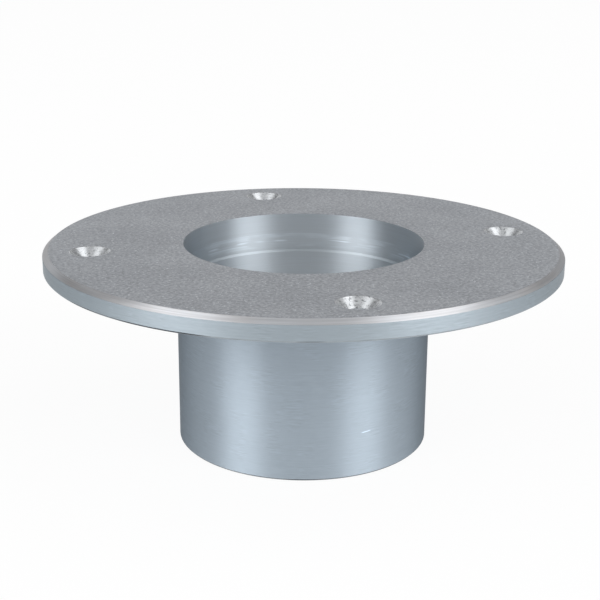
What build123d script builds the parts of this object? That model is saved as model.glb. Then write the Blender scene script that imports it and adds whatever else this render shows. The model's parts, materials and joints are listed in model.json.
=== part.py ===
from build123d import *
import os

# Base flange for a round handrail tube, turned from one piece of aluminium.
#
# A flat disc carries a short plain collar below it, and one bore runs down through both.
# The tube drops in from above: a slightly wider entry guides it past a small ledge into the
# main bore. Four countersunk screws hold the disc down on a deck or a floor, with the collar
# in a drilled hole.
#
# Sizes are in millimetres. The origin is the centre of the collar's free end, on which the
# flange stands, and +Z points up along the bore.

# The tube, and the room it has in the bore, both steps measured on the radius
TUBE_DIAMETER = 48.3
TUBE_CLEARANCE = 0.1
ENTRY_STEP = 0.3  # how much wider the entry is than the main bore
ENTRY_DEPTH = 8.2  # from the top face down to the ledge

# The collar
COLLAR_WALL = 1.75
COLLAR_LENGTH = 37.5  # below the disc
ROOT_FILLET = 1.5  # where the collar meets the underside of the disc

# The disc
FLANGE_DIAMETER = 105.0
FLANGE_THICKNESS = 4.0
RIM_CHAMFER_WIDTH = 1.1  # across the top face
RIM_CHAMFER_HEIGHT = 0.9  # down the rim
EDGE_BREAK = 0.3  # the deburred edges: the disc's lower rim and both edges of the collar's end

# The screws, with flat heads that sit in the cones
SCREW_COUNT = 4
SCREW_EDGE_DISTANCE = 9.25  # from the rim in to a screw's axis
SCREW_HOLE_DIAMETER = 4.5
COUNTERSINK_DIAMETER = 8.0
COUNTERSINK_ANGLE = 90.0

# Radii and heights that follow from the sizes above
bore_radius = TUBE_DIAMETER / 2 + TUBE_CLEARANCE
entry_radius = bore_radius + ENTRY_STEP
collar_radius = bore_radius + COLLAR_WALL
flange_radius = FLANGE_DIAMETER / 2
screw_circle_radius = flange_radius - SCREW_EDGE_DISTANCE
top_height = COLLAR_LENGTH + FLANGE_THICKNESS
ledge_height = top_height - ENTRY_DEPTH


def half_section():
    """The section on one side of the axis, with X as the radius and Y as the height."""
    collar_inner_edge = (bore_radius, 0)
    collar_outer_edge = (collar_radius, 0)
    root = (collar_radius, COLLAR_LENGTH)
    lower_rim = (flange_radius, COLLAR_LENGTH)

    with BuildSketch() as section:
        with BuildLine():
            Polyline(
                collar_inner_edge,
                collar_outer_edge,
                root,
                lower_rim,
                (flange_radius, top_height - RIM_CHAMFER_HEIGHT),
                (flange_radius - RIM_CHAMFER_WIDTH, top_height),
                (entry_radius, top_height),
                (entry_radius, ledge_height),
                (bore_radius, ledge_height - ENTRY_STEP),
                close=True,
            )
        make_face()

        def corner(point):
            return section.vertices().sort_by_distance(point)[0]

        fillet(corner(root), ROOT_FILLET)
        for edge in (collar_inner_edge, collar_outer_edge, lower_rim):
            chamfer(corner(edge), EDGE_BREAK)
    return section.sketch


def base_flange():
    """The turned disc and collar, with the screw holes drilled and countersunk from above."""
    with BuildPart() as flange:
        with BuildSketch(Plane.XZ):
            add(half_section())
        revolve(axis=Axis.Z)
        with Locations((0, 0, top_height)):
            with PolarLocations(screw_circle_radius, SCREW_COUNT):
                CounterSinkHole(
                    radius=SCREW_HOLE_DIAMETER / 2,
                    counter_sink_radius=COUNTERSINK_DIAMETER / 2,
                    counter_sink_angle=COUNTERSINK_ANGLE,
                )
    return flange.part


os.makedirs("parts", exist_ok=True)
export_step(base_flange(), "parts/base_flange.step")
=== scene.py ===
# %% [markdown]
# # A base flange for a handrail tube
#
# The object is one turned piece of aluminium: a thin disc with four countersunk screw holes,
# a short collar under it, and a stepped bore down the middle. It has no moving parts, so the
# lesson is about two things: a clean turned form with believable edges, and the different
# finishes that a lathe, a drill and a blasting gun leave on one metal.
#
# We start from the imported model. It fixes the real size and place of everything, in metres,
# with the flange standing on the free end of its collar and Z up. Nothing we make may leave
# its box, so we keep that box and print it.

# %% Load the imported model
import json
import math

import bpy
from mathutils import Matrix, Vector


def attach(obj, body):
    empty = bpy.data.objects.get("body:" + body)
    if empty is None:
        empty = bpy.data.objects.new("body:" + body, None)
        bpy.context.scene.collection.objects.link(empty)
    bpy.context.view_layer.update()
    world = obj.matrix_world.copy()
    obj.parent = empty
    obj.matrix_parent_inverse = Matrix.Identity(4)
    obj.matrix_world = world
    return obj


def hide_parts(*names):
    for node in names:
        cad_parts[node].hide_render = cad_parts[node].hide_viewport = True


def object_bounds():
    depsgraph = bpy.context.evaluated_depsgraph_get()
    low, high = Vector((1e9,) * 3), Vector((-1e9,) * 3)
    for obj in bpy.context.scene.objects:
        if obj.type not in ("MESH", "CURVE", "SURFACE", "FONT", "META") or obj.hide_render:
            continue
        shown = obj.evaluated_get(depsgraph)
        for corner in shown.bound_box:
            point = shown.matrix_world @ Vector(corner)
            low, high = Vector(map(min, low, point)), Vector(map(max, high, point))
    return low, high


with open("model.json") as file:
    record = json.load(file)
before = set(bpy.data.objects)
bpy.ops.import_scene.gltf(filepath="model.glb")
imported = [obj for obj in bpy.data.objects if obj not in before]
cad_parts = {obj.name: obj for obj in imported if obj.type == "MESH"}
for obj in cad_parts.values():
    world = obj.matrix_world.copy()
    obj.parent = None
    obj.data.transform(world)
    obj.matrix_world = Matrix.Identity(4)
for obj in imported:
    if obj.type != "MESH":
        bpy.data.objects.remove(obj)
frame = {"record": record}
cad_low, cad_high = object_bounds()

MM = 0.001
print("the packed model reaches from", tuple(cad_low), "to", tuple(cad_high))

# %% [markdown]
# ## The sizes
#
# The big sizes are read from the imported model. Its box gives the height and the disc's
# radius, and its mounts, the places where another thing fits, carry the radii of the bore,
# the collar and the screw holes. A size that is read can't drift from the real one. Only
# what no mount states is written here: the rim's chamfer, the taper of the step in the bore,
# the small edges and the cone for a screw's head.

# %% Read the sizes
mounts = {mount["name"]: mount for mount in frame["record"]["mounts"]}


def mount_size(name, key):
    """A length from a mount, in metres."""
    return mounts[name]["dims"][key] * MM


FLANGE_RADIUS = cad_high.x
TOP = cad_high.z
UNDERSIDE = mounts["screw_holes"]["pos_m"][2]
BORE_RADIUS = mount_size("tube_bore", "r_mm")
ENTRY_RADIUS = mount_size("tube_entry", "r_mm")
ENTRY_DEPTH = mount_size("tube_entry", "length_mm")
COLLAR_RADIUS = mount_size("collar_outside", "r_mm")
SCREW_HOLE_RADIUS = mount_size("screw_holes", "hole_r_mm")
SCREW_CIRCLE_RADIUS = mount_size("screw_holes", "pcd_mm") / 2
SCREW_COUNT = mounts["screw_holes"]["dims"]["count"]

LEDGE = TOP - ENTRY_DEPTH
STEP_TAPER = 0.5 * MM
RIM_CHAMFER_WIDTH = 1.1 * MM
RIM_CHAMFER_HEIGHT = 0.9 * MM
ROOT_FILLET = 1.5 * MM
EDGE_BREAK = 0.3 * MM
CONE_RADIUS = 4.0 * MM
print(f"disc {2 * FLANGE_RADIUS / MM:.1f} mm across and {(TOP - UNDERSIDE) / MM:.1f} mm thick")
print(f"collar {2 * COLLAR_RADIUS / MM:.1f} mm outside, {2 * BORE_RADIUS / MM:.1f} mm inside")

# %% [markdown]
# ## The half section
#
# A turned part is known by its half section, the outline on one side of the axis. It could
# be drawn as a curve, but a loop of mesh edges can carry a value on every edge. We use that
# to note the finish of each run of the outline, and the note stays on the faces when the
# section is swept round.
#
# No machined edge is perfectly sharp, and a corner with no rounding catches no light. So
# each corner that shows gets a small arc. Smooth shading bends the normals as far as the
# next vertex, so one more point beside each arc, a hair along the straight run, keeps the
# bend off the large flat faces. Modellers call it a holding edge.

# %% Round the corners of an outline
BLASTED, COLLAR, RIM, BRIGHT, BORED, FACED, EASED, DRILLED = range(8)

ARC_STEP = math.radians(15)
HOLDING_GAP = 0.03 * MM


def rounded_corner(before, corner, after, rounding):
    """The points of a small arc in place of a corner, with a holding point at each end."""
    back = (before - corner).normalized()
    ahead = (after - corner).normalized()
    half_angle = back.angle(ahead) / 2
    reach = rounding / math.tan(half_angle)
    centre = corner + (back + ahead).normalized() * rounding / math.sin(half_angle)
    first = corner + back * reach - centre
    last = corner + ahead * reach - centre
    turn = math.atan2(first.cross(last), first.dot(last))
    steps = math.ceil(abs(turn) / ARC_STEP)
    arc = [centre + Matrix.Rotation(turn * k / steps, 2) @ first for k in range(steps + 1)]
    hold = reach + HOLDING_GAP
    return [corner + back * hold, *arc, corner + ahead * hold]


def rounded_outline(corners):
    """Points, and the finish of the edge after each, from (radius, height, rounding, finish)."""
    places = [Vector(corner[:2]) for corner in corners]
    points, finishes = [], []
    for i, (_, _, rounding, finish) in enumerate(corners):
        made = [places[i]]
        if rounding:
            after = places[(i + 1) % len(corners)]
            made = rounded_corner(places[i - 1], places[i], after, rounding)
        points += made
        finishes += [corners[i - 1][3]] * (len(made) - 1) + [finish]
    return points, finishes


# %% Make a section an object
def section_object(name, corners):
    """A closed loop of edges in the XZ plane, with the finish stored on each edge."""
    points, finishes = rounded_outline(corners)
    edges = [(i, (i + 1) % len(points)) for i in range(len(points))]
    mesh = bpy.data.meshes.new(name)
    mesh.from_pydata([(point.x, 0, point.y) for point in points], edges, [])
    mesh.attributes.new("finish", "INT", "EDGE").data.foreach_set("value", finishes)
    section = bpy.data.objects.new(name, mesh)
    bpy.context.scene.collection.objects.link(section)
    print(f"{name} has {len(points)} points")
    return section


# %% [markdown]
# The corners go round the section with the metal on the left: along the collar's free end,
# up its outside, out under the disc, up the rim, in over the top and down the bore. That
# direction makes the swept faces point outwards. The step between the two bores is a short
# taper, as the slanting corner of a boring tool leaves it, and it catches a thin line of
# light.

# %% Draw the flange's section
EDGE_ROUNDING = 0.08 * MM
MOUTH_ROUNDING = 0.05 * MM

flange_corners = [
    (BORE_RADIUS, EDGE_BREAK, EDGE_ROUNDING, EASED),
    (BORE_RADIUS + EDGE_BREAK, 0, EDGE_ROUNDING, FACED),
    (COLLAR_RADIUS - EDGE_BREAK, 0, EDGE_ROUNDING, EASED),
    (COLLAR_RADIUS, EDGE_BREAK, EDGE_ROUNDING, COLLAR),
    (COLLAR_RADIUS, UNDERSIDE, ROOT_FILLET, FACED),
    (FLANGE_RADIUS - EDGE_BREAK, UNDERSIDE, EDGE_ROUNDING, EASED),
    (FLANGE_RADIUS, UNDERSIDE + EDGE_BREAK, EDGE_ROUNDING, RIM),
    (FLANGE_RADIUS, TOP - RIM_CHAMFER_HEIGHT, EDGE_ROUNDING, BRIGHT),
    (FLANGE_RADIUS - RIM_CHAMFER_WIDTH, TOP, EDGE_ROUNDING, BLASTED),
    (ENTRY_RADIUS, TOP, MOUTH_ROUNDING, BORED),
    (ENTRY_RADIUS, LEDGE, 0, BRIGHT),
    (BORE_RADIUS, LEDGE - STEP_TAPER, MOUTH_ROUNDING, BORED),
]
flange = section_object("flange_body", flange_corners)

# %% [markdown]
# A screw hole is what a drill and a countersink take away, so we draw the section of that
# tool too: a straight hole with a 90 degree cone above it. A very short flare at the cone's
# rim gives the hole the broken edge that catches the light. The tool reaches past both faces
# of the disc, because a cut that ends exactly on a face leaves a skin.

# %% Draw the countersink drill's section
CONE_DEPTH = CONE_RADIUS - SCREW_HOLE_RADIUS
RIM_FLARE = 0.05 * MM
FLARE_SLOPE = math.radians(22.5)
RIM_FLARE_WIDTH = RIM_FLARE / math.tan(FLARE_SLOPE)
DRILL_REACH = 1 * MM

drill_corners = [
    (0, UNDERSIDE - DRILL_REACH, 0, DRILLED),
    (SCREW_HOLE_RADIUS, UNDERSIDE - DRILL_REACH, 0, DRILLED),
    (SCREW_HOLE_RADIUS, TOP - CONE_DEPTH, 0, DRILLED),
    (CONE_RADIUS - RIM_FLARE, TOP - RIM_FLARE, 0, DRILLED),
    (CONE_RADIUS - RIM_FLARE + RIM_FLARE_WIDTH, TOP, 0, DRILLED),
    (CONE_RADIUS - RIM_FLARE + 2 * RIM_FLARE_WIDTH, TOP + RIM_FLARE, 0, DRILLED),
    (CONE_RADIUS + DRILL_REACH, TOP + DRILL_REACH, 0, DRILLED),
    (0, TOP + DRILL_REACH, 0, DRILLED),
]
drill = section_object("drill_section", drill_corners)

# %% [markdown]
# ## Sweeping a section round the axis
#
# Blender's Screw modifier and Spin tool would turn the section too. Geometry Nodes does it
# with plain arithmetic that is worth reading once, and keeps the finish of every run. We
# start from a flat grid with one row of vertices for each step of the turn and one column
# for each point of the section. A vertex's number tells its row and column, so it can fetch
# its point from the section and turn it by its row's angle.
#
# First come four small helpers that keep the node trees readable.

# %% Helpers for node trees
def fill(tree, socket, value):
    """Set a socket to a plain value, or link it when the value comes from another node."""
    if isinstance(value, bpy.types.NodeSocket):
        tree.links.new(value, socket)
    else:
        socket.default_value = value


def add_node(tree, kind, sockets=None, **settings):
    """Add a node with its settings and its sockets, named or numbered, filled."""
    node = tree.nodes.new(kind)
    for name, value in settings.items():
        setattr(node, name, value)
    for key, value in (sockets or {}).items():
        fill(tree, node.inputs[key], value)
    return node


def calculate(tree, operation, *values, kind="ShaderNodeMath"):
    """One step of arithmetic, as a socket that the next step can use."""
    return add_node(tree, kind, dict(enumerate(values)), operation=operation).outputs[0]


def new_geometry_tree(name, sockets):
    """A Geometry Nodes tree with named inputs; returns it, its inputs and its result."""
    tree = bpy.data.node_groups.new(name, "GeometryNodeTree")
    tree.interface.new_socket("Geometry", in_out="OUTPUT", socket_type="NodeSocketGeometry")
    for socket_name, kind in sockets.items():
        tree.interface.new_socket(socket_name, in_out="INPUT", socket_type=kind)
    given = tree.nodes.new("NodeGroupInput").outputs
    result = tree.nodes.new("NodeGroupOutput").inputs["Geometry"]
    return tree, given, result


# %% The tree that turns a section into a solid
INTEGER = "FunctionNodeIntegerMath"
MERGE_DISTANCE = 0.001 * MM

turning, given, result = new_geometry_tree("turn_round_the_axis", {
    "Section": "NodeSocketGeometry",
    "Segments": "NodeSocketInt",
    "Finish": "NodeSocketMaterial",
})
section = given["Section"]
count = add_node(turning, "GeometryNodeAttributeDomainSize", {"Geometry": section})
points_in_section = count.outputs["Point Count"]
rows = calculate(turning, "ADD", given["Segments"], 1, kind=INTEGER)
columns = calculate(turning, "ADD", points_in_section, 1, kind=INTEGER)
sheet = add_node(turning, "GeometryNodeMeshGrid", {"Vertices X": rows, "Vertices Y": columns})

index = add_node(turning, "GeometryNodeInputIndex").outputs[0]
row = calculate(turning, "DIVIDE_FLOOR", index, columns, kind=INTEGER)
column = calculate(turning, "MODULO", index, columns, kind=INTEGER)
place = calculate(turning, "MODULO", column, points_in_section, kind=INTEGER)
point = add_node(
    turning,
    "GeometryNodeSampleIndex",
    {"Geometry": section, "Index": place},
    data_type="FLOAT_VECTOR",
)
position = add_node(turning, "GeometryNodeInputPosition").outputs[0]
fill(turning, point.inputs["Value"], position)
part_of_turn = calculate(turning, "DIVIDE", row, given["Segments"])
turned = add_node(
    turning,
    "ShaderNodeVectorRotate",
    {"Vector": point.outputs[0], "Angle": calculate(turning, "MULTIPLY", part_of_turn, math.tau)},
    rotation_type="Z_AXIS",
)
shaped = add_node(
    turning,
    "GeometryNodeSetPosition",
    {"Geometry": sheet.outputs["Mesh"], "Position": turned.outputs[0]},
)

# %% [markdown]
# Each face of the sheet lies over one edge of the section, and takes that edge's finish. At
# the end the last row meets the first, and on the axis a whole ring of vertices meets in one
# point. Merge by Distance joins them, and the sheet becomes a closed solid.

# %% Carry the finish from edge to face, and close the solid
edge_below = calculate(turning, "MODULO", index, points_in_section, kind=INTEGER)
edge_finish = add_node(
    turning,
    "GeometryNodeInputNamedAttribute",
    {"Name": "finish"},
    data_type="INT",
)
face_finish = add_node(
    turning,
    "GeometryNodeSampleIndex",
    {"Geometry": section, "Value": edge_finish.outputs[0], "Index": edge_below},
    data_type="INT",
    domain="EDGE",
)
noted = add_node(
    turning,
    "GeometryNodeStoreNamedAttribute",
    {"Geometry": shaped.outputs[0], "Name": "finish", "Value": face_finish.outputs[0]},
    data_type="INT",
    domain="FACE",
)
closed = add_node(
    turning,
    "GeometryNodeMergeByDistance",
    {"Geometry": noted.outputs[0], "Distance": MERGE_DISTANCE},
)
finished = add_node(
    turning,
    "GeometryNodeSetMaterial",
    {"Geometry": closed.outputs[0], "Material": given["Finish"]},
)
fill(turning, result, finished.outputs[0])
print(f"{turning.name}: {len(turning.nodes)} nodes")

# %% [markdown]
# ## Drilling the screw holes
#
# The holes repeat round a circle, so the drill is made once and placed on the corners of a
# Mesh Circle with one vertex for each screw. All the copies are cut away in one boolean step.
# The number of holes and their circle are named inputs of the tree, like the other sizes.
#
# The last steps deal with shading. Every face is smooth, but an edge where two faces meet at
# more than 20 degrees stays sharp. The small arcs turn by 15 degrees a step, so they shade
# as round, while the foot of the countersink shades as the crisp line that a tool leaves.

# %% The tree that makes the drilled flange
FLANGE_SEGMENTS = 360
HOLE_SEGMENTS = 72
SHARP_ANGLE = math.radians(20)

drilled, given, result = new_geometry_tree("drilled_flange", {
    "Section": "NodeSocketGeometry",
    "Segments": "NodeSocketInt",
    "Drill section": "NodeSocketObject",
    "Drill segments": "NodeSocketInt",
    "Screw count": "NodeSocketInt",
    "Screw circle radius": "NodeSocketFloat",
    "Blank finish": "NodeSocketMaterial",
    "Drilled finish": "NodeSocketMaterial",
})


def turned_solid(section_geometry, segments, finish):
    """The turning tree used as one node."""
    group = drilled.nodes.new("GeometryNodeGroup")
    group.node_tree = turning
    fill(drilled, group.inputs["Section"], section_geometry)
    fill(drilled, group.inputs["Segments"], segments)
    fill(drilled, group.inputs["Finish"], finish)
    return group.outputs[0]


blank = turned_solid(given["Section"], given["Segments"], given["Blank finish"])
drill_outline = add_node(drilled, "GeometryNodeObjectInfo", {"Object": given["Drill section"]})
drill_sides = given["Drill segments"]
one_drill = turned_solid(drill_outline.outputs["Geometry"], drill_sides, given["Drilled finish"])
screw_circle = add_node(
    drilled,
    "GeometryNodeMeshCircle",
    {"Vertices": given["Screw count"], "Radius": given["Screw circle radius"]},
)
placed_drills = add_node(
    drilled,
    "GeometryNodeInstanceOnPoints",
    {"Points": screw_circle.outputs[0], "Instance": one_drill},
)
drills = add_node(drilled, "GeometryNodeRealizeInstances", {"Geometry": placed_drills.outputs[0]})
cut = add_node(
    drilled,
    "GeometryNodeMeshBoolean",
    {"Mesh 1": blank, "Mesh 2": drills.outputs[0]},
    operation="DIFFERENCE",
    solver="EXACT",
)
clean = add_node(
    drilled,
    "GeometryNodeMergeByDistance",
    {"Geometry": cut.outputs[0], "Distance": MERGE_DISTANCE},
)

smooth = add_node(drilled, "GeometryNodeSetShadeSmooth", {"Geometry": clean.outputs[0]})
bend = add_node(drilled, "GeometryNodeInputMeshEdgeAngle").outputs["Unsigned Angle"]
crisp = add_node(
    drilled,
    "GeometryNodeSetShadeSmooth",
    {
        "Geometry": smooth.outputs[0],
        "Selection": calculate(drilled, "GREATER_THAN", bend, SHARP_ANGLE),
        "Shade Smooth": False,
    },
    domain="EDGE",
)

# %% [markdown]
# ## The finishes
#
# All faces are bare aluminium, so every material is a metal: the base colour is how much it
# reflects, and most of what we see is the room. What tells the zones apart is how each was
# worked. A lathe tool leaves grooves that run round the axis. They spread a highlight across
# the grooves and hardly along them, which draws the tall bands of light on a turned wall, and
# Anisotropic does that in the shader. The Tangent node gives the direction round the Z axis,
# and a rotation of a quarter turn points the spread across the grooves.
#
# A metal seen at a low angle reflects more and whiter. The shader's Specular Tint, which on a
# metal sets the colour near the edge, is lowered on the turned walls and the bright cuts, so
# that their left and right ends, seen at a low angle, come out darker: painted shade, deepest
# on the collar, which stands under the disc.

# %% A bare metal
QUARTER_TURN = 0.25


def shader_of(material):
    """The shader that draws the metal."""
    return material.node_tree.nodes["Principled BSDF"]


def groove(material, anisotropic, tangent):
    """Spread the highlights across grooves that run along the tangent."""
    shader = shader_of(material)
    shader.inputs["Anisotropic"].default_value = anisotropic
    shader.inputs["Anisotropic Rotation"].default_value = QUARTER_TURN
    fill(material.node_tree, shader.inputs["Tangent"], tangent)


def bare_metal(name, anisotropic=0.0, edge_tint=1.0):
    """A metal and its node tree. Where it is anisotropic its grooves run round the axis."""
    material = bpy.data.materials.new(name)
    material.use_nodes = True
    tree = material.node_tree
    shader = shader_of(material)
    shader.inputs["Metallic"].default_value = 1.0
    # An edge tint below 1 darkens a face where it is seen at a low angle: painted shade.
    shader.inputs["Specular Tint"].default_value = (edge_tint, edge_tint, edge_tint, 1)
    if anisotropic:
        tangent = add_node(tree, "ShaderNodeTangent", direction_type="RADIAL", axis="Z")
        groove(material, anisotropic, tangent.outputs[0])
    return material, tree


def dress(material, tone, roughness, marks, depth):
    """Give a metal its tone, its roughness and its marks, cut to this depth in metres."""
    tree, shader = material.node_tree, shader_of(material)
    fill(tree, shader.inputs["Base Color"], tone)
    fill(tree, shader.inputs["Roughness"], roughness)
    bump = add_node(tree, "ShaderNodeBump", {"Height": marks, "Distance": depth})
    fill(tree, shader.inputs["Normal"], bump.outputs[0])
    print(f"{material.name}: {len(tree.nodes)} nodes")


# %% [markdown]
# ## Marks in the metal
#
# A tool mark is a pattern with a size and a direction. A noise texture is even in all
# directions, but when the place is first divided by a length on each axis, its spots come out
# that long on each axis. With a long X and Y and a short Z they are rings round a wall. With
# a middling X and Y they are the short dashes of a worn tool. The lengths are real ones, so
# a mark keeps its size when the object does.
#
# The patterns read Object coordinates, so they stay on the metal from every side.

# %% Helpers for marks
# A Mix node has sockets for numbers, vectors and colours. These are the ones for colours.
FIRST_COLOUR, SECOND_COLOUR, MIXED_COLOUR = 6, 7, 2


def object_position(tree):
    """The place on the object, in metres."""
    return add_node(tree, "ShaderNodeTexCoord").outputs["Object"]


def noise(tree, place, length, width=None, detail=2.0):
    """Noise with spots this long in X and Y and this wide in Z, in metres, or as wide as long."""
    lengths = (length, length, width or length)
    scaled = add_node(tree, "ShaderNodeVectorMath", {0: place, 1: lengths}, operation="DIVIDE")
    sockets = {"Vector": scaled.outputs[0], "Scale": 1.0, "Detail": detail}
    return add_node(tree, "ShaderNodeTexNoise", sockets).outputs["Fac"]


def spread(tree, value, low, high, start=0.35, end=0.65):
    """Stretch the useful middle of a noise, start to end, over low to high."""
    sockets = {"Value": value, "From Min": start, "From Max": end, "To Min": low, "To Max": high}
    return add_node(tree, "ShaderNodeMapRange", sockets).outputs[0]


def blend(tree, factor, one, other):
    """A colour between two colours."""
    node = add_node(tree, "ShaderNodeMix", {"Factor": factor}, data_type="RGBA")
    for number, colour in ((FIRST_COLOUR, one), (SECOND_COLOUR, other)):
        linked = isinstance(colour, bpy.types.NodeSocket)
        fill(tree, node.inputs[number], colour if linked else (*colour, 1))
    return node.outputs[MIXED_COLOUR]


def shade(tree, colour, factor):
    """A colour times a number."""
    sockets = {0: colour, "Scale": factor}
    return add_node(tree, "ShaderNodeVectorMath", sockets, operation="SCALE").outputs[0]


def height_share(tree, place, low, high):
    """How far up a height is between two heights, from 0 to 1."""
    height = add_node(tree, "ShaderNodeSeparateXYZ", {0: place}).outputs["Z"]
    return spread(tree, height, 0, 1, start=low, end=high)


# %% [markdown]
# ## The blasted top
#
# The top was blasted with fine grit after it was faced, so it is an even, matt grey with a
# grain that one just feels. It could be made with a rough shader alone, but then it looks
# like plastic. Here one noise makes the dull grain, a rarer one paints small bright specks
# into the colour, painted glints where a few grain facets would catch a lamp, and a very
# wide one lets the tone drift, as it does where the gun passed twice. The grain is in the
# colour as well as in the bump, because a dent smaller than a picture element still changes
# how much light that element gets. The roughness is high, since the dents lean every way: a
# smoother top would flash white wherever a lamp stands opposite the eye.

# %% The blasted top
GRAIN = 0.6 * MM
GLINT_SIZE = 0.36 * MM
DRIFT = 14 * MM
GRAIN_DEPTH = 0.015 * MM

blasted, tree = bare_metal("blasted_top")
place = object_position(tree)
grain = noise(tree, place, GRAIN, detail=3)
painted_glints = noise(tree, place, GLINT_SIZE, detail=1)
drift = spread(tree, noise(tree, place, DRIFT), 0, 1)
tone = blend(tree, drift, (0.377, 0.391, 0.413), (0.407, 0.421, 0.443))
tone = shade(tree, tone, spread(tree, grain, 0.82, 1.17))
# Painted glints: a few sparse specks made up to 1.6 times brighter in the colour.
tone = shade(tree, tone, spread(tree, painted_glints, 1, 1.6, start=0.66, end=0.75))
dress(blasted, tone, spread(tree, grain, 0.78, 0.88), grain, GRAIN_DEPTH)

# %% [markdown]
# ## The turned walls
#
# The collar and the rim were turned with a fine feed. Close up there are rings less than half
# a millimetre apart, and in the bright bands one sees short dashes where the tool tore the
# metal a little. The grooves could be cut into the mesh, but they would need thousands of
# faces for something finer than a hair, so they are noise: rings and dashes in the colour and
# in the roughness. The collar's colour is painted darker towards the disc, as painted shade
# under the disc's overhang, and a long blend over the height makes that.
#
# The collar has also been touched once by something hard. A single scratch needs no picture:
# its distance from a chosen place gives its length, and how far it lies to the side of a
# chosen line, which a dot product measures, gives its width.

# %% The turned walls
SCRATCH_PLACE = (7.1 * MM, -25.0 * MM, 9.2 * MM)
SCRATCH_ACROSS = (-0.08, -0.02, 1.0)
SCRATCH_FULL_LENGTH, SCRATCH_END = 0.7 * MM, 1.2 * MM
SCRATCH_FULL_WIDTH, SCRATCH_EDGE = 0.03 * MM, 0.13 * MM
SCRATCH_SHINE = 1.8

RING_LENGTH, RING_WIDTH, RING_DEPTH = 20 * MM, 0.25 * MM, 0.002 * MM
DASH_LENGTH, DASH_WIDTH = 2.2 * MM, 0.2 * MM
TORN_PATCH = 5 * MM
ROUGHNESS_SWING = 0.04


def scratch(tree, place):
    """1 on one small scratch and 0 elsewhere: near its middle and near its line."""
    kind = "ShaderNodeVectorMath"
    offset = calculate(tree, "SUBTRACT", place, SCRATCH_PLACE, kind=kind)
    away = add_node(tree, kind, {0: offset}, operation="LENGTH").outputs["Value"]
    aside = add_node(tree, kind, {0: offset, 1: SCRATCH_ACROSS}, operation="DOT_PRODUCT")
    aside = calculate(tree, "ABSOLUTE", aside.outputs["Value"])
    along = spread(tree, away, 1, 0, start=SCRATCH_FULL_LENGTH, end=SCRATCH_END)
    across = spread(tree, aside, 1, 0, start=SCRATCH_FULL_WIDTH, end=SCRATCH_EDGE)
    return calculate(tree, "MULTIPLY", along, across)


def turned_wall(name, low_tone, high_tone, roughness, anisotropic, edge_tint, scratched=False):
    """Turned metal with its tone at the flange's foot and at the disc, and a roughness."""
    material, tree = bare_metal(name, anisotropic, edge_tint)
    place = object_position(tree)
    rings = noise(tree, place, RING_LENGTH, RING_WIDTH, detail=3)
    dashes = noise(tree, place, DASH_LENGTH, DASH_WIDTH)
    patches = noise(tree, place, TORN_PATCH)
    torn = calculate(
        tree,
        "MULTIPLY",
        spread(tree, dashes, -0.10, 0.10),
        spread(tree, patches, 0, 1, start=0.45, end=0.6),
    )
    # The tone changes with the height; on the collar it darkens towards the disc as painted shade.
    tone = blend(tree, height_share(tree, place, 0, UNDERSIDE), low_tone, high_tone)
    tone = shade(tree, tone, spread(tree, rings, 0.98, 1.02))
    tone = shade(tree, tone, calculate(tree, "ADD", torn, 1))
    if scratched:
        shine = spread(tree, scratch(tree, place), 1, SCRATCH_SHINE, start=0, end=1)
        tone = shade(tree, tone, shine)
    least, most = roughness - ROUGHNESS_SWING, roughness + ROUGHNESS_SWING
    dress(material, tone, spread(tree, dashes, least, most), rings, RING_DEPTH)
    return material


# The collar's colour is painted darker towards the disc, and its low edge tint darkens its sides:
# both are painted shade under the disc.
collar_wall = turned_wall(
    "turned_collar",
    low_tone=(0.40, 0.462, 0.52),
    high_tone=(0.369, 0.425, 0.48),
    roughness=0.52,
    anisotropic=0.83,
    edge_tint=0.3,
    scratched=True,
)
RIM_TONE = (0.40, 0.455, 0.497)
rim_wall = turned_wall(
    "turned_rim",
    low_tone=RIM_TONE,
    high_tone=RIM_TONE,
    roughness=0.60,
    anisotropic=0.75,
    edge_tint=0.8,
)

# %% [markdown]
# ## The rim's chamfer and the step in the bore
#
# These two narrow cuts were made last with a sharp tool and a light cut, so they are the
# brightest turned faces. Their marks are the same rings, only finer. The tool left them a
# little uneven round the rim, which a slow noise gives. The step was cut deep inside, with a
# longer and softer tool, so it is rougher. The two never lie at one height, so one material
# serves both and the height tells them apart.

# %% The bright cuts
FINE_RING_LENGTH, FINE_RING_WIDTH, FINE_RING_DEPTH = 14 * MM, 0.2 * MM, 0.003 * MM
UNEVEN_PATCH = 12 * MM
STEP_ROUGHER_BY = 0.16

# Its edge tint darkens the chamfer's far ends: painted shade.
bright_cut, tree = bare_metal("bright_cut", anisotropic=0.85, edge_tint=0.65)
place = object_position(tree)
rings = noise(tree, place, FINE_RING_LENGTH, FINE_RING_WIDTH)
uneven = spread(tree, noise(tree, place, UNEVEN_PATCH), 0, 1)
at_the_rim = height_share(tree, place, LEDGE, UNDERSIDE)
rim_tone = blend(tree, uneven, (0.604, 0.60, 0.613), (0.609, 0.625, 0.654))
tone = blend(tree, at_the_rim, (0.54, 0.59, 0.63), rim_tone)
tone = shade(tree, tone, spread(tree, rings, 0.91, 1.09))
rim_roughness = spread(tree, rings, 0.36, 0.44)
rougher_by = spread(tree, at_the_rim, STEP_ROUGHER_BY, 0, start=0, end=1)
roughness = calculate(tree, "ADD", rim_roughness, rougher_by)
dress(bright_cut, tone, roughness, rings, FINE_RING_DEPTH)

# %% [markdown]
# ## The bored wall
#
# A boring bar is long and thin, and it sings. Near the bottom of the wide entry it left a few
# bright, broken rings where it shook, while the wall above them is smooth. Rings of noise
# that are kept only where they are strong make these lines, and the height decides where they
# show. Deeper down, the wall's colour is painted paler: painted light in place of the shade
# inside the bore.

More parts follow.
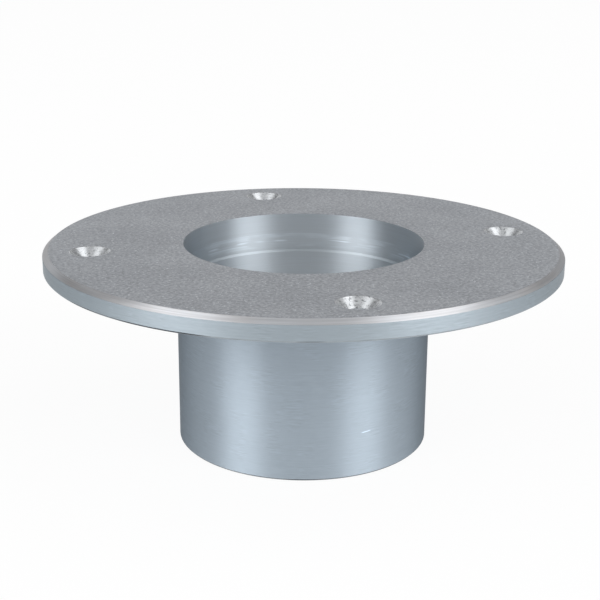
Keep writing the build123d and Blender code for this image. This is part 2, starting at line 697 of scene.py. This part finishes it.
# %% The bored wall
BORED_RING_LENGTH, BORED_RING_WIDTH, BORED_RING_DEPTH = 12 * MM, 0.3 * MM, 0.003 * MM
SHAKE_MIDDLE = TOP - 6 * MM
SHAKE_REACH = 1.8 * MM
SHAKE_FULL_SHARE = 0.4
SHAKE_LINE_LENGTH, SHAKE_LINE_WIDTH = 1000 * MM, 0.4 * MM
SHAKE_BREAK_LENGTH, SHAKE_BREAK_WIDTH = 6 * MM, 1.5 * MM
FAINT_SHAKE = 0.04
PAINTED_LIGHT_BELOW = TOP - 12 * MM


def near_height(tree, place, middle, reach):
    """1 close to a height, falling to 0 at this distance above and below it."""
    height = add_node(tree, "ShaderNodeSeparateXYZ", {0: place}).outputs["Z"]
    away = calculate(tree, "ABSOLUTE", calculate(tree, "SUBTRACT", height, middle))
    return spread(tree, away, 1, 0, start=SHAKE_FULL_SHARE * reach, end=reach)


bored, tree = bare_metal("bored_wall", anisotropic=0.93)
place = object_position(tree)
rings = noise(tree, place, BORED_RING_LENGTH, BORED_RING_WIDTH, detail=3)
lines = noise(tree, place, SHAKE_LINE_LENGTH, SHAKE_LINE_WIDTH, detail=1)
breaks = noise(tree, place, SHAKE_BREAK_LENGTH, SHAKE_BREAK_WIDTH, detail=1)
shaken = calculate(
    tree,
    "MULTIPLY",
    spread(tree, lines, 0, 0.45, start=0.42, end=0.62),
    spread(tree, breaks, 0, 1, start=0.48, end=0.62),
)
shaken = calculate(tree, "ADD", shaken, FAINT_SHAKE)
shaken = calculate(tree, "MULTIPLY", shaken, near_height(tree, place, SHAKE_MIDDLE, SHAKE_REACH))
# Painted light: the colour grows paler with the depth, down to 12 mm below the top.
painted_light_share = height_share(tree, place, TOP, PAINTED_LIGHT_BELOW)
tone = blend(tree, painted_light_share, (0.497, 0.545, 0.588), (0.558, 0.607, 0.650))
tone = shade(tree, tone, spread(tree, rings, 0.96, 1.04))
tone = shade(tree, tone, calculate(tree, "ADD", shaken, 1))
dress(bored, tone, spread(tree, rings, 0.52, 0.60), rings, BORED_RING_DEPTH)

# %% [markdown]
# ## The faced underside
#
# The underside and the collar's end were faced: the tool moved inwards while the part turned,
# which leaves rings like those of a record. On a flat face the height is the same everywhere,
# so here the distance from the axis takes its place in the noise.

# %% The faced underside
FACED_RING_LENGTH, FACED_RING_WIDTH, FACED_RING_DEPTH = 20 * MM, 0.3 * MM, 0.004 * MM


def radius_place(tree):
    """The position with the distance from the axis in place of the height."""
    place = object_position(tree)
    flat = add_node(tree, "ShaderNodeVectorMath", {0: place, 1: (1, 1, 0)}, operation="MULTIPLY")
    radius = add_node(tree, "ShaderNodeVectorMath", {0: flat.outputs[0]}, operation="LENGTH")
    apart = add_node(tree, "ShaderNodeSeparateXYZ", {0: place}).outputs
    sockets = {"X": apart["X"], "Y": apart["Y"], "Z": radius.outputs["Value"]}
    return add_node(tree, "ShaderNodeCombineXYZ", sockets).outputs[0]


faced, tree = bare_metal("faced_underside", anisotropic=0.7)
rings = noise(tree, radius_place(tree), FACED_RING_LENGTH, FACED_RING_WIDTH, detail=3)
tone = blend(tree, spread(tree, rings, 0, 1), (0.48, 0.52, 0.56), (0.54, 0.58, 0.62))
dress(faced, tone, spread(tree, rings, 0.30, 0.38), rings, FACED_RING_DEPTH)

# %% [markdown]
# ## The eased edges
#
# The sharp lower edges were eased with a file, which leaves a narrow, dull band. In some
# places, a few centimetres long, the band is painted nearly black, as painted shade under the
# disc's edge and at the foot, and there it reads as a thin dark line under the bright wall.
# The edge that stands on the bench is painted darkest, as painted contact shade. So one noise
# makes the strokes of the file, a slow one the patches of painted shade, and the height
# darkens the lowest edge.

# %% The eased edges
PAINTED_SHADE_PATCH = 16 * MM
STROKE_LENGTH, STROKE_WIDTH, STROKE_DEPTH = 1.2 * MM, 0.15 * MM, 0.01 * MM

eased, tree = bare_metal("eased_edge", anisotropic=0.5)
place = object_position(tree)
strokes = noise(tree, place, STROKE_LENGTH, STROKE_WIDTH)
# Where this is low, the edge takes the nearly black colour below: painted shade.
clean = spread(tree, noise(tree, place, PAINTED_SHADE_PATCH, detail=0), 0, 1, start=0.24, end=0.36)
filed_tone = blend(tree, spread(tree, strokes, 0, 1), (0.30, 0.34, 0.37), (0.38, 0.42, 0.45))
tone = blend(tree, clean, (0.06, 0.07, 0.08), filed_tone)
# The colour darkens towards the floor: painted contact shade on the lowest edge.
height = height_share(tree, place, 0, UNDERSIDE)
tone = shade(tree, tone, spread(tree, height, 0.55, 1, start=0, end=1))
dress(eased, tone, spread(tree, strokes, 0.45, 0.60), strokes, STROKE_DEPTH)

# %% [markdown]
# ## The drilled cones
#
# A countersink cuts bright metal, and it chatters: the cone gets small flats and dark ticks
# that run round the screw. On a 45 degree cone the height falls as fast as the radius, so
# noise with a short Z gives rings round every hole at once, wherever its axis stands. The
# direction round a hole is square to the surface's normal and to Z, so a cross product of
# the two gives the tangent.

# %% The drilled cones
CHATTER_LENGTH, CHATTER_WIDTH, CHATTER_DEPTH = 0.8 * MM, 0.3 * MM, 0.028 * MM
TICK = 0.5 * MM

cones, tree = bare_metal("drilled_cone")
place = object_position(tree)
chatter = noise(tree, place, CHATTER_LENGTH, CHATTER_WIDTH)
ticks = spread(tree, noise(tree, place, TICK), 0, 0.8, start=0.6, end=0.68)
tone = blend(tree, spread(tree, chatter, 0, 1), (0.56, 0.58, 0.60), (0.70, 0.72, 0.74))
tone = blend(tree, ticks, tone, (0.20, 0.21, 0.22))
normal = add_node(tree, "ShaderNodeNewGeometry").outputs["Normal"]
tangent = calculate(tree, "CROSS_PRODUCT", (0, 0, 1), normal, kind="ShaderNodeVectorMath")
groove(cones, 0.45, tangent)
dress(cones, tone, spread(tree, chatter, 0.24, 0.38), chatter, CHATTER_DEPTH)

# %% [markdown]
# ## Giving each finish to its faces
#
# The blank starts with the top's finish and the drill with the cones', and the boolean step
# keeps both on the faces that come from them. The other zones are found by the number that
# each face brought from the section.

# %% Give each finish to its faces
HALF_A_NUMBER = 0.5

zone_materials = {
    COLLAR: collar_wall,
    RIM: rim_wall,
    BRIGHT: bright_cut,
    BORED: bored,
    FACED: faced,
    EASED: eased,
}
zone = add_node(
    drilled,
    "GeometryNodeInputNamedAttribute",
    {"Name": "finish"},
    data_type="INT",
).outputs[0]
body = crisp.outputs[0]
for number, material in zone_materials.items():
    chosen = calculate(drilled, "COMPARE", zone, number, HALF_A_NUMBER)
    sockets = {"Geometry": body, "Selection": chosen, "Material": material}
    body = add_node(drilled, "GeometryNodeSetMaterial", sockets).outputs[0]
fill(drilled, result, body)
print(f"{drilled.name}: {len(drilled.nodes)} nodes, {len(zone_materials)} zones by number")

# %% [markdown]
# ## Making the flange
#
# The modifier's inputs are set by their identifiers, which never change, and before Blender
# looks at the object for the first time. Then the finished form is taken out as a plain mesh
# and the modifier goes, so nothing is left that another program would have to work out.
#
# A Set Material node gives a mesh without materials an empty first slot, for faces that it
# leaves out. Here it leaves none out, so the empty slot goes too.

# %% Make the flange
modifier = flange.modifiers.new("drilled_flange", "NODES")
modifier.node_group = drilled
identifiers = {item.name: item.identifier for item in drilled.interface.items_tree}
inputs = {
    "Segments": FLANGE_SEGMENTS,
    "Drill section": drill,
    "Drill segments": HOLE_SEGMENTS,
    "Screw count": SCREW_COUNT,
    "Screw circle radius": SCREW_CIRCLE_RADIUS,
    "Blank finish": blasted,
    "Drilled finish": cones,
}
for name, value in inputs.items():
    modifier[identifiers[name]] = value

depsgraph = bpy.context.evaluated_depsgraph_get()
solid = bpy.data.meshes.new_from_object(flange.evaluated_get(depsgraph))
solid.name = "flange_body"
if solid.materials[0] is None:
    solid.materials.pop(index=0)
flange.modifiers.remove(modifier)
flange.data = solid
bpy.data.objects.remove(drill)
print("flange:", len(solid.vertices), "vertices and", len(solid.polygons), "faces")
for index, material in enumerate(solid.materials):
    faces = sum(face.material_index == index for face in solid.polygons)
    print(f"{material.name} lies on {faces} faces")

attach(flange, "root")
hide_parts("base_flange")

# %% [markdown]
# ## The floor
#
# A small metal part is shown on a white sweep. The floor is a plain pale sheet, large enough
# for its far edge to lie near the horizon, above what the camera sees. To the camera, and in
# the metal's reflections, most of it is its own even white, and the rest is real paper, which
# keeps a breath of the flange's shadow so that the part stands on something. Everything else,
# the lamps above all, meets only the paper, so the floor throws no extra light on the part.

# %% The floor
FLOOR_SIZE = 20
PAPER = 0.9
OWN_WHITE_SHARE = 0.92

half = FLOOR_SIZE / 2
corners = [(-half, -half, 0), (half, -half, 0), (half, half, 0), (-half, half, 0)]
floor_mesh = bpy.data.meshes.new("floor")
floor_mesh.from_pydata(corners, [], [(0, 1, 2, 3)])
floor = bpy.data.objects.new("floor", floor_mesh)
bpy.context.scene.collection.objects.link(floor)

floor_material = bpy.data.materials.new("pale_floor")
floor_material.use_nodes = True
tree = floor_material.node_tree
tree.nodes.clear()
paper = add_node(tree, "ShaderNodeBsdfDiffuse", {"Color": (PAPER, PAPER, PAPER, 1)})
white = add_node(tree, "ShaderNodeEmission", {"Color": (1, 1, 1, 1)})
ray = add_node(tree, "ShaderNodeLightPath").outputs
seen = calculate(tree, "ADD", ray["Is Camera Ray"], ray["Is Glossy Ray"])
seen = calculate(tree, "ADD", seen, ray["Is Transmission Ray"])
share = calculate(tree, "MULTIPLY", seen, OWN_WHITE_SHARE)
mixed = add_node(tree, "ShaderNodeMixShader", {0: share, 1: paper.outputs[0], 2: white.outputs[0]})
add_node(tree, "ShaderNodeOutputMaterial", {"Surface": mixed.outputs[0]})
floor_mesh.materials.append(floor_material)
print(f"floor: {FLOOR_SIZE} m square, {OWN_WHITE_SHARE:.0%} its own white")

# %% [markdown]
# ## The light
#
# Metal is lit by what it reflects, so the lamps are large soft boxes, and where they stand
# draws the picture. Two key boxes at the sides of the camera make the two tall bands on the
# collar, and the same two bands in the bore. Weaker ones beside and above fill the ends of
# the disc. Two in front, one low and one higher, keep the middle of the collar and of the
# chamfer from going black, and one overhead lights the top. The last two are wide and faint
# and stand low behind, the left one a little brighter. The left and right ends of the screw
# cones and of the chamfer reflect that place, and they would go dark without it.
#
# A box's brightness is the light it sends from each bit of its surface, in the same units as
# the picture: a mirror that saw a box of brightness 1 would show white. Blender's lamps take
# their whole power instead, which grows with the area, so the helper works that out. Angles
# are easier to think in than sizes, so each box is given by how wide and high it looks from
# the flange.

# %% The room's grey
ROOM_GREY = 0.33

world = bpy.data.worlds.new("plain_room")
bpy.context.scene.world = world
world.use_nodes = True
background = world.node_tree.nodes["Background"]
background.inputs["Color"].default_value = (1, 1, 1, 1)
background.inputs["Strength"].default_value = ROOM_GREY
print(f"the room is {ROOM_GREY} bright on all sides")

# %% Soft boxes
VIEW_TURN = math.radians(-12.53)
LAMP_DISTANCE = 4.0


def soft_box(name, azimuth, elevation, wide, high, brightness):
    """A box lamp aimed at the flange. Azimuth runs from the camera's side to the right."""
    lamp = bpy.data.lights.new(name, "AREA")
    lamp.shape = "RECTANGLE"
    lamp.size = 2 * LAMP_DISTANCE * math.tan(math.radians(wide / 2))
    lamp.size_y = 2 * LAMP_DISTANCE * math.tan(math.radians(high / 2))
    lamp.energy = brightness * math.pi * lamp.size * lamp.size_y
    box = bpy.data.objects.new(name, lamp)
    bpy.context.scene.collection.objects.link(box)
    turn = VIEW_TURN + math.radians(azimuth)
    flat = math.cos(math.radians(elevation))
    aim = Vector((math.sin(turn) * flat, -math.cos(turn) * flat, math.sin(math.radians(elevation))))
    box.location = Vector((0, 0, TOP)) + aim * LAMP_DISTANCE
    box.rotation_mode = "QUATERNION"
    box.rotation_quaternion = aim.to_track_quat("Z", "Y")
    print(f"{name}: {lamp.size:.2f} by {lamp.size_y:.2f} m, {lamp.energy:.0f} W")


# %% Place the lamps
LAMPS = {  # azimuth, elevation, how wide and how high it looks, brightness
    "key_right": (55, 22, 34, 34, 4.4),
    "key_left": (-55, 22, 34, 34, 4.65),
    "side_right": (92, 20, 50, 36, 0.7),
    "side_left": (-92, 20, 50, 36, 0.25),
    "upper_right": (90, 58, 36, 30, 1.25),
    "upper_left": (-90, 58, 36, 30, 0.8),
    "front_low": (0, 3, 60, 14, 1.3),
    "front_high": (0, 28, 60, 36, 0.6),
    "overhead": (0, 90, 36, 36, 0.5),
    "back_left": (202, 9, 50, 30, 0.45),
    "back_right": (156, 8, 50, 30, 0.24),
}
for name, values in LAMPS.items():
    soft_box(name, *values)

# %% [markdown]
# ## The camera
#
# A long lens from about a quarter of a metre, looking down a little, shows the disc as a
# slim ellipse and still leaves the collar its height. The camera is built up in steps: it is
# tipped from looking straight down to nearly level, moved back and up, and then the whole
# set-up is turned round the flange, which decides where the four holes appear.

# %% The camera
SENSOR_WIDTH = 36
LENS = 75.22
LOOK_DOWN = math.radians(17.153)
ROLL = math.radians(0.39)
SEAT = Vector((-0.675, -248.49, 64.02)) * MM

camera_data = bpy.data.cameras.new("camera")
camera_data.sensor_width = SENSOR_WIDTH
camera_data.lens = LENS
camera = bpy.data.objects.new("camera", camera_data)
bpy.context.scene.collection.objects.link(camera)
camera.matrix_world = (
    Matrix.Rotation(VIEW_TURN, 4, "Z")
    @ Matrix.Translation(SEAT + Vector((0, 0, TOP)))
    @ Matrix.Rotation(math.radians(90) - LOOK_DOWN, 4, "X")
    @ Matrix.Rotation(ROLL, 4, "Z")
)
bpy.context.scene.camera = camera
bpy.context.scene.view_settings.view_transform = "Standard"
print("the camera stands at", [round(value, 3) for value in camera.matrix_world.translation])
